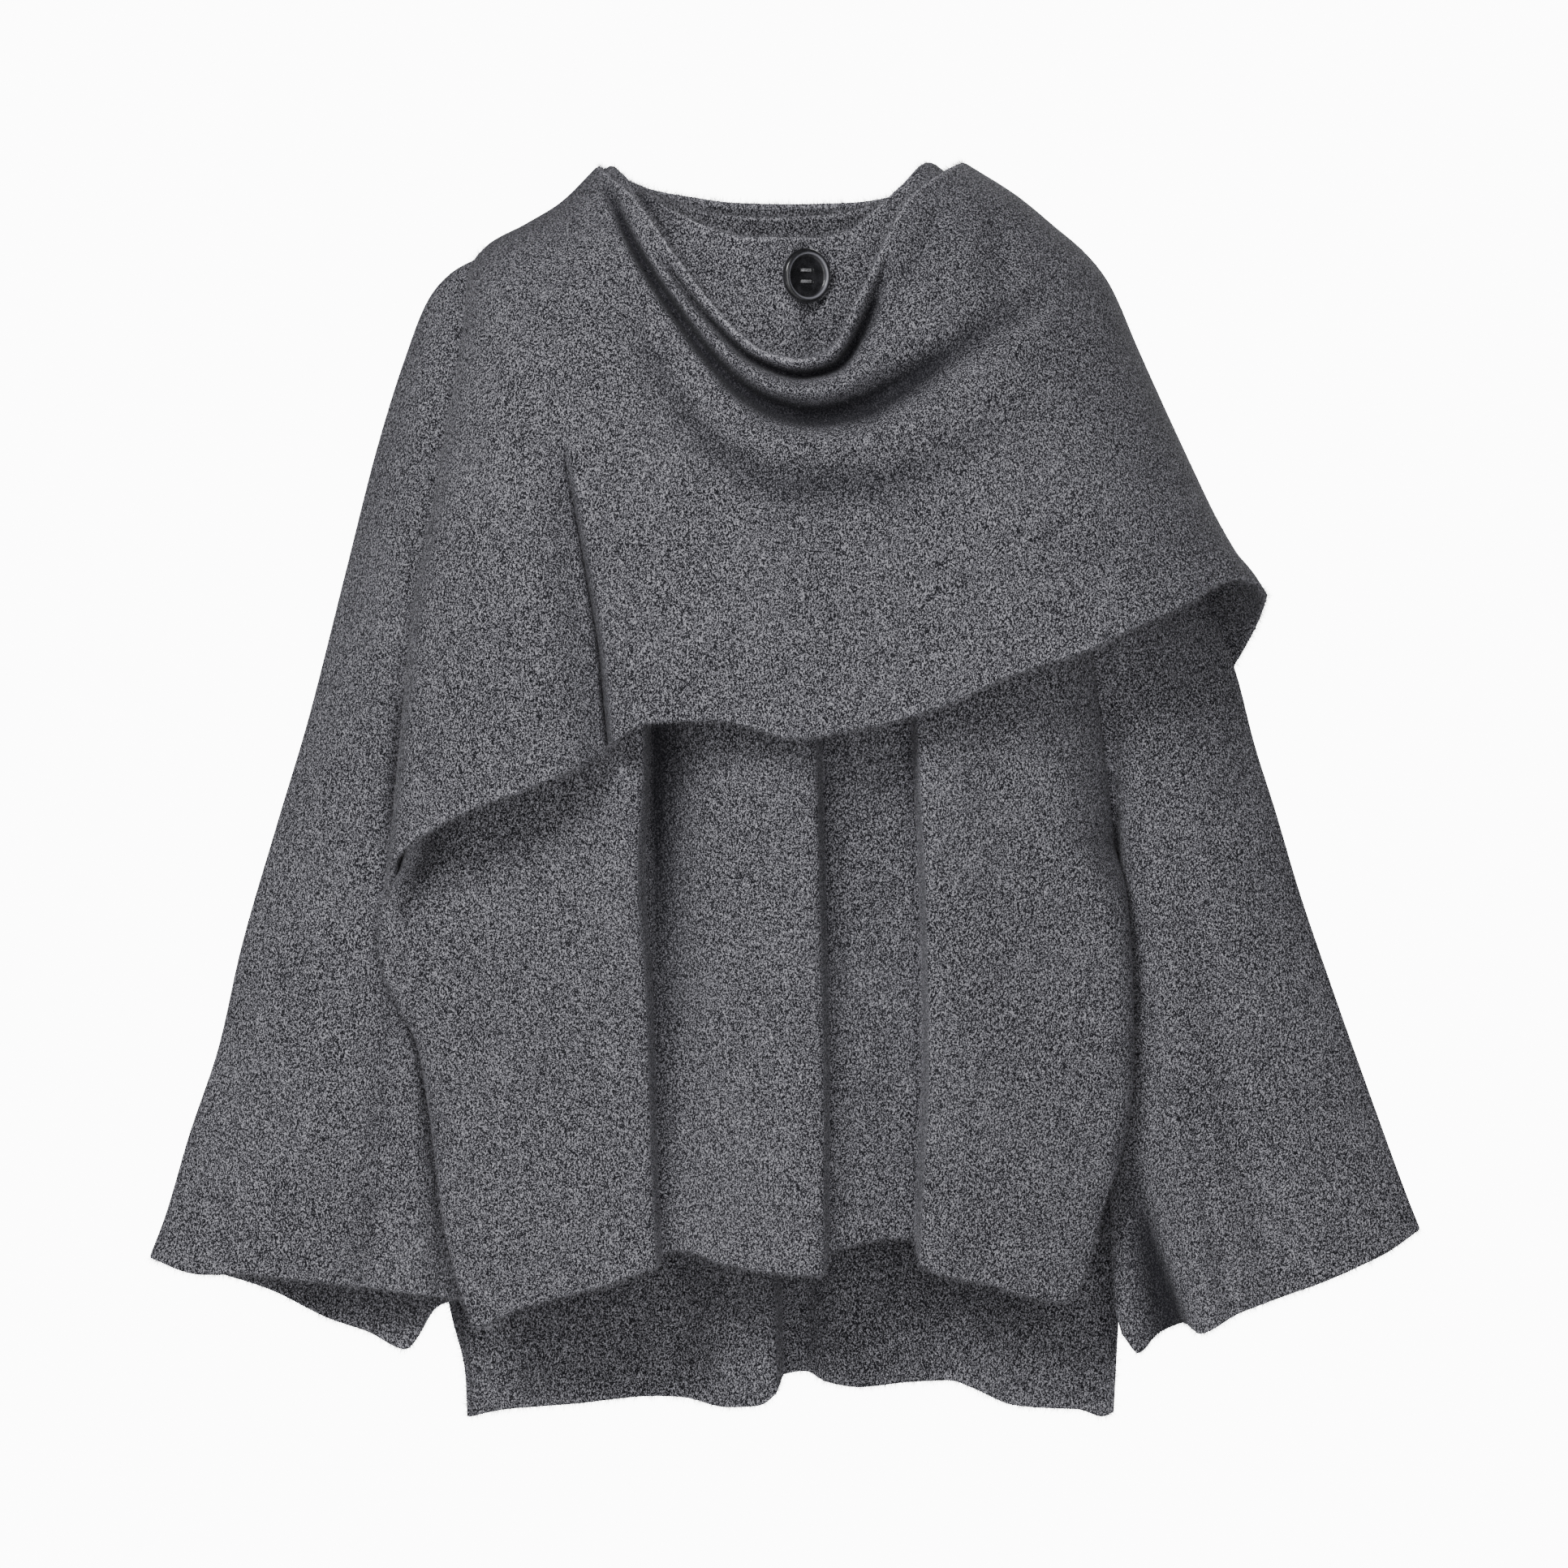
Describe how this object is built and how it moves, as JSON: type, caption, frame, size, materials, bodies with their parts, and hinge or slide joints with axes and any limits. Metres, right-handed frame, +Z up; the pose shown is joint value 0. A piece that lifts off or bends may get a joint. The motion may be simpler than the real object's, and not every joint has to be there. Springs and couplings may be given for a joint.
{
  "type": "knitted poncho sweater",
  "caption": "Long-sleeved knitted sweater under a slanting draped cape with a cowl neck and a button, hollow as when worn, with side slits and a longer back.",
  "frame": {"origin": "middle of the neck, level with the shoulder line, where the wearer's shoulders carry the garment", "axes": "+X to the wearer's left, -Y the way that the wearer faces, +Z up"},
  "size_m": [0.6874, 0.195, 0.6792],
  "materials": {
    "knit": "heathered wool, brushed",
    "button": "polished"
  },
  "bodies": {
    "root": {"sweater_front": "knit", "sweater_back": "knit", "sleeve_right_front": "knit", "sleeve_right_back": "knit", "sleeve_left_front": "knit", "sleeve_left_back": "knit", "cape_front": "knit", "cape_back": "knit", "button": "button"}
  },
  "joints": []
}
